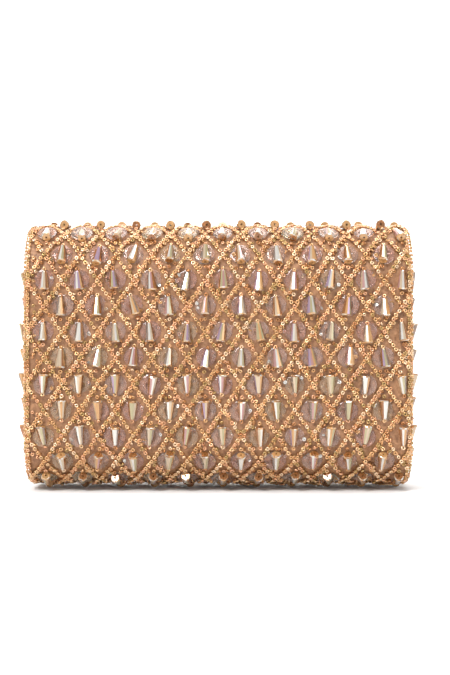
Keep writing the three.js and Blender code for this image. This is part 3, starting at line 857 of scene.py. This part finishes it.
# ---- Bead edging ----
def edging(name, body, side, v_start, v_end, *nodes):
    """Two close rows of beads along one side, bending round the panel's edge."""
    pitch = 2.3 * MM
    v = np.arange(v_start + pitch / 2, v_end - pitch / 4, pitch)
    copies = []
    for k, (u, height, lean) in enumerate([
        (HALF_PANEL - 0.75 * MM, 1.25 * MM, 12), (HALF_PANEL + 1.0 * MM, 0.25 * MM, 50),
    ]):
        at_v = v + k * pitch / 2 + rng.normal(0, 0.08 * MM, len(v))
        at_v = np.clip(at_v, v_start + 0.9 * MM, v_end - 0.9 * MM)
        origin, right, onward, outward = wrap(side * u + rng.normal(0, 0.09 * MM, len(v)), at_v)
        lean = np.radians(rng.normal(lean, 12, len(v)))
        axes = tilted(right, onward, outward, lean, (0 if side > 0 else np.pi) + rng.normal(0, 0.3, len(v)))
        height = height + rng.normal(0, 0.08 * MM, len(v))
        copies.append(frames(origin + outward * height[:, None], axes, rng.uniform(1.06, 1.16, len(v)) * MM))
    matrix = np.concatenate([c[0] for c in copies])
    places = np.concatenate([c[1] for c in copies])
    slots = seed_slots(len(places), [0.14, 0.28, 0.10, 0.16, 0.26, 0.06])
    piece = scatter(name, SEED, (matrix, places), SEEDS, slots)
    place_piece(piece, body, "bead_edging", *nodes)


def hem_edging():
    """One row of beads along the flap's hem, under the front roll."""
    pitch = 2.1 * MM
    u = np.arange(-HALF_PANEL + pitch, HALF_PANEL - pitch / 2, pitch)
    origin, right, onward, outward = wrap(u, np.full(len(u), V_HEM + 0.4 * MM))
    axes = right + rng.normal(0, 0.15, (len(u), 1)) * outward
    copies = frames(origin + outward * 0.8 * MM, axes, np.full(len(u), 0.98 * MM))
    piece = scatter("flap_hem_seeds", SEED, copies, SEEDS, seed_slots(len(u)))
    place_piece(piece, "flap", "bead_edging")


def make_edging():
    for label, side in (("left", -1), ("right", 1)):
        edging(f"flap_{label}_edge_seeds", "flap", side, V_HEM, V_FOLD - FOLD_GAP, f"flap_{label}_edging")
        edging(f"back_{label}_edge_seeds", "body", side, V_FOLD + FOLD_GAP, V_BASE_FRONT, f"back_{label}_edging")
    hem_edging()


# ---- Satin inside ----
def stitches(name, body, place, u, v, height, onward_of):
    """Short thread stitches, each along the direction of its row."""
    ring = [(0.0001, -1.0), (0.16, -0.8), (0.2, 0.0), (0.16, 0.8), (0.0001, 1.0)]
    vertices, quads = revolve(ring, 6)
    quads = quads[np.tile(np.arange(5) < 4, 6)]
    origin, right, onward, outward = place(u, v)
    axes = onward_of[:, :1] * right + onward_of[:, 1:] * onward
    copies = frames(origin + outward * height, axes, np.full(len(u), 1.15 * MM))
    slots = np.zeros((len(u), len(quads)), int)
    piece = scatter(name, (vertices, quads), copies, [THREAD], slots)
    place_piece(piece, body, "lining_satin")


def frame_path(u_half, v_low, v_high, inset, pitch=3.2 * MM):
    """Stitch places and directions round a rectangle of the wrap surface."""
    u_edge = u_half - inset
    v = np.arange(v_low + inset, v_high - inset, pitch)
    u = np.arange(-u_edge, u_edge, pitch)
    places_u = np.concatenate([np.full(len(v), -u_edge), np.full(len(v), u_edge), u, u])
    places_v = np.concatenate([v, v, np.full(len(u), v_low + inset), np.full(len(u), v_high - inset)])
    upright = np.arange(len(places_u)) < 2 * len(v)
    return places_u, places_v, np.stack([~upright, upright], axis=-1).astype(float)


def satin_sheet(name, body, half_width, v_start, v_end, height, material, slot, node_name, rests_on, ripple):
    u = span(-half_width, half_width, 4 * MM)
    v = span(v_start, v_end, 2.5 * MM)
    uu, vv = np.meshgrid(u, v)
    wave = ripple * (np.sin(uu * 61 + vv * 23) + np.sin(uu * 23 - vv * 97 + 1.3)) / 2
    piece = grid_object(name, wrap, uu, vv, height + wave - ripple, 0.45 * MM, [material])
    place_piece(piece, body, slot, node_name)


def make_linings():
    inner = HALF_INNER
    front_low = FRONT_R * (math.pi / 2 - FRONT_END_ANGLE)
    mouth_v = V_FRONT + MOUTH_Z - BASE_Z - FRONT_R
    gap = FOLD_GAP
    rows = [
        ("flap_lining_satin", "flap", HALF_PANEL, V_HEM, V_FOLD - gap, LINING_H, "flap_lining", "flap_board"),
        ("back_lining_satin", "body", inner, V_FOLD + gap, V_BACK_ROLL, LINING_H, "back_lining", "back_board"),
        ("front_panel_satin", "body", inner, front_low, mouth_v, FRONT_COVER_H, "front_cover", "front_board"),
        ("front_lining_satin", "body", inner, front_low, mouth_v, FRONT_LINING_H, "front_lining", "front_board"),
        ("base_lining_satin", "body", inner, V_BACK_ROLL + 9 * MM, profile.length - 1 * MM, BASE_LINING_H,
         "base_lining", "base_wadding"),
    ]
    for name, body, half, low, high, height, replaced, rests_on in rows:
        satin_sheet(name, body, half, low, high, height, LINING, "lining_satin", replaced, rests_on, 0.06 * MM)
    inside_face = LINING_H - FABRIC_T
    path = frame_path(HALF_PANEL, V_HEM, V_FOLD, 4 * MM)
    stitches("flap_lining_stitches", "flap", wrap, *path[:2], inside_face - 0.03 * MM, path[2])
    path = frame_path(inner, front_low + 20 * MM, mouth_v - 6 * MM, 3 * MM)
    stitches("front_panel_stitches", "body", wrap, *path[:2], FRONT_COVER_H + 0.1 * MM, path[2])


def base_wadding():
    """The base's soft wadding, a little slack between the board and the lining."""
    start, end = V_BACK_ROLL + BACK_R * math.radians(25), V_BASE_FRONT - 0.5 * MM
    uu, vv = np.meshgrid(span(-HALF_INNER + 0.5 * MM, HALF_INNER - 0.5 * MM, 3 * MM), span(start, end, 1.5 * MM))
    slack = 0.12 * MM * (1 + np.sin(uu * 210 + 3 * np.sin(vv * 140)))
    foam = satin("wadding", (0.80, 0.76, 0.66), (0.92, 0.90, 0.84), 0.9 * MM, 0.9, 0.1, 2 * MM)
    piece = grid_object("base_wadding", wrap, uu, vv, LINING_H - 0.05 * MM - slack, 3.3 * MM, [foam])
    place_piece(piece, "body", "padding", "base_padding")


def fold_strip():
    """The fabric hinge: a satin strip laid along the cover across the fold, tied to neither body."""
    u = span(-HALF_INNER + 1 * MM, HALF_INNER - 1 * MM, 4 * MM)
    v = span(V_FOLD - 14 * MM, V_FOLD + 14 * MM, 1 * MM)
    uu, vv = np.meshgrid(u, v)
    piece = grid_object("fold_strip_satin", wrap, uu, vv, np.full(uu.shape, FOLD_STRIP_H), 0.4 * MM, [LINING])
    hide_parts("fold_strip")
    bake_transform(piece)


def mouth_binding():
    """Satin piping folded over the front panel's top edge."""
    low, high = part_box("mouth_binding")
    middle = (low[1] + high[1]) / 2
    reach = (high[1] - low[1]) / 2
    leg = high[2] - low[2] - reach
    turns = np.radians(np.linspace(180, 0, 17))
    y = np.concatenate([[middle - reach] * 3, middle + reach * np.cos(turns), [middle + reach] * 3])
    z = np.concatenate([low[2] + leg * np.array([0, 0.4, 0.8]), high[2] - reach + reach * np.sin(turns),
                        low[2] + leg * np.array([0.8, 0.4, 0])])
    steps = np.concatenate([[0], np.cumsum(np.hypot(np.diff(y), np.diff(z)))])

    def place(u, v):
        yy, zz = np.interp(v, steps, y), np.interp(v, steps, z)
        ty = np.interp(v, steps, np.gradient(y, steps))
        tz = np.interp(v, steps, np.gradient(z, steps))
        zero = np.zeros_like(yy)
        onward = unit(stack(zero, ty, tz))
        right = stack(zero + 1, zero, zero)
        return stack(u, yy, zz), right, onward, unit(np.cross(right, onward))

    uu, vv = np.meshgrid(span(-HALF_INNER, HALF_INNER, 4 * MM), steps)
    piece = grid_object("mouth_piping", place, uu, vv, np.zeros(uu.shape), 0.45 * MM, [COVER])
    place_piece(piece, "body", "cover_satin", "mouth_binding")


def slip_pocket():
    """A flat satin pocket on the back lining, slack at its open top edge."""
    low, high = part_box("slip_pocket")
    u = span(low[0], high[0], 2 * MM)
    v = span(low[2], high[2], 2 * MM)
    uu, vv = np.meshgrid(u, v)
    across = 1 - (uu / high[0]) ** 2
    up = (vv - low[2]) / (high[2] - low[2])
    slack = 1.9 * MM * np.clip(across, 0, 1) ** 0.5 * up**1.5

    def place(u, v):
        zero = np.zeros_like(u)
        one = zero + 1
        return stack(u, high[1] + zero, v), stack(one, zero, zero), stack(zero, zero, one), stack(zero, -one, zero)

    piece = grid_object("slip_pocket_satin", place, uu, vv, slack + 0.45 * MM, 0.4 * MM, [LINING])
    place_piece(piece, "body", "lining_satin", "slip_pocket")
    side_v = np.arange(low[2] + 2 * MM, high[2] - 1 * MM, 3.2 * MM)
    low_u = np.arange(low[0] + 2 * MM, high[0] - 1 * MM, 3.2 * MM)
    at_u = np.concatenate([np.full(len(side_v), low[0] + 2 * MM), np.full(len(side_v), high[0] - 2 * MM), low_u])
    at_v = np.concatenate([side_v, side_v, np.full(len(low_u), low[2] + 2 * MM)])
    upright = np.arange(len(at_u)) < 2 * len(side_v)
    stitches("slip_pocket_stitches", "body", place, at_u, at_v, 0.75 * MM,
             np.stack([~upright, upright], axis=-1).astype(float))


# ---- Snap ----
def make_snap():
    """The snap's parts keep their CAD shape, in plated metal."""
    for name, material in (
        ("snap_socket", GOLD), ("snap_stud", GOLD), ("snap_magnet", DARK_METAL),
        ("socket_washer", ZINC), ("stud_washer", ZINC),
    ):
        cad = frame["nodes"][name]
        cad.data.materials.clear()
        cad.data.materials.append(material)


def make_boards():
    """Stiffening boards keep their CAD shape, in fibrous card."""
    card = satin("kraft_card", (0.42, 0.31, 0.20), (0.62, 0.49, 0.34), 0.6 * MM, 0.8, 0.0, 3 * MM)
    for name, cad in frame["nodes"].items():
        if name.endswith("_board"):
            cad.data.materials.clear()
            cad.data.materials.append(card)


# ---- Studio ----
def area_light(name, place, target, size, power):
    data = bpy.data.lights.new(name, "AREA")
    data.shape = "RECTANGLE"
    data.size, data.size_y = size
    data.energy = power
    light = bpy.data.objects.new(name, data)
    bpy.context.scene.collection.objects.link(light)
    light.location = place
    direction = np.array(target, float) - np.array(place, float)
    light.rotation_euler = Vector(direction).to_track_quat("-Z", "Y").to_euler()


def make_studio():
    floor_y = span(-3.0, 1.6, 0.2)
    turn = np.radians(np.linspace(0, 90, 13))[1:]
    bend = 0.8
    y = np.concatenate([floor_y, 1.6 + bend * np.sin(turn), [2.4, 2.4]])
    z = np.concatenate([np.zeros(len(floor_y)), bend * (1 - np.cos(turn)), [1.6, 3.5]])
    x = np.linspace(-4, 4, 3)
    xx, yy = np.meshgrid(x, y)
    zz = np.repeat(z[:, None], len(x), axis=1)
    i, j = np.meshgrid(np.arange(len(y) - 1), np.arange(len(x) - 1), indexing="ij")
    a = (i * len(x) + j).ravel()
    quads = np.stack([a, a + 1, a + len(x) + 1, a + len(x)], axis=-1)
    white = new_material("studio_white", (0.92, 0.92, 0.92), 0.9)
    backdrop = make_object("studio_backdrop", stack(xx, yy, zz).reshape(-1, 3), quads, [white])
    backdrop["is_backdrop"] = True
    world = bpy.data.worlds.new("studio")
    world.use_nodes = True
    sky = world.node_tree.nodes["Background"]
    place = node(world, "ShaderNodeTexCoord")
    axes = node(world, "ShaderNodeSeparateXYZ")
    shade = ramp(world, [(0.0, (0.8, 0.8, 0.8)), (0.25, (0.8, 0.8, 0.8)), (0.6, (0.32, 0.32, 0.32))])
    link(world, place, "Generated", axes, "Vector")
    link(world, axes, "Z", shade, "Fac")
    link(world, shade, "Color", sky, "Color")
    bpy.context.scene.world = world
    area_light("key", (-0.7, -1.2, 1.3), (0, 0, 0.08), (0.7, 0.7), 33)
    area_light("fill", (1.2, -1.2, 0.6), (0, 0, 0.08), (0.8, 0.8), 5)
    area_light("top", (0.1, 0.0, 1.4), (0, 0, 0.1), (1.2, 0.6), 14)
    for side in (-1, 1):
        area_light(f"backdrop_{side}", (1.1 * side, 0.8, 1.2), (0.3 * side, 2.4, 0.7), (1.0, 1.0), 45)
    bpy.context.scene.view_settings.view_transform = "Standard"


def make_camera():
    """Level with the upper half of the face and a little right of the middle."""
    data = bpy.data.cameras.new("camera")
    data.lens = LENS_MM
    data.sensor_width = SENSOR_MM
    camera = bpy.data.objects.new("camera", data)
    bpy.context.scene.collection.objects.link(camera)
    camera.location = (CAMERA_X, FRONT_Y - CAMERA_DISTANCE, CAMERA_Z)
    camera.rotation_euler = (math.pi / 2, 0, 0)
    bpy.context.scene.camera = camera


make_camera()
make_beadwork()
make_edging()
make_linings()
base_wadding()
fold_strip()
mouth_binding()
slip_pocket()
make_snap()
make_boards()
make_studio()

boxes = {"cad": cad_bounds, "visual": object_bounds()}
{name: [list(map(float, corner)) for corner in box] for name, box in boxes.items()}
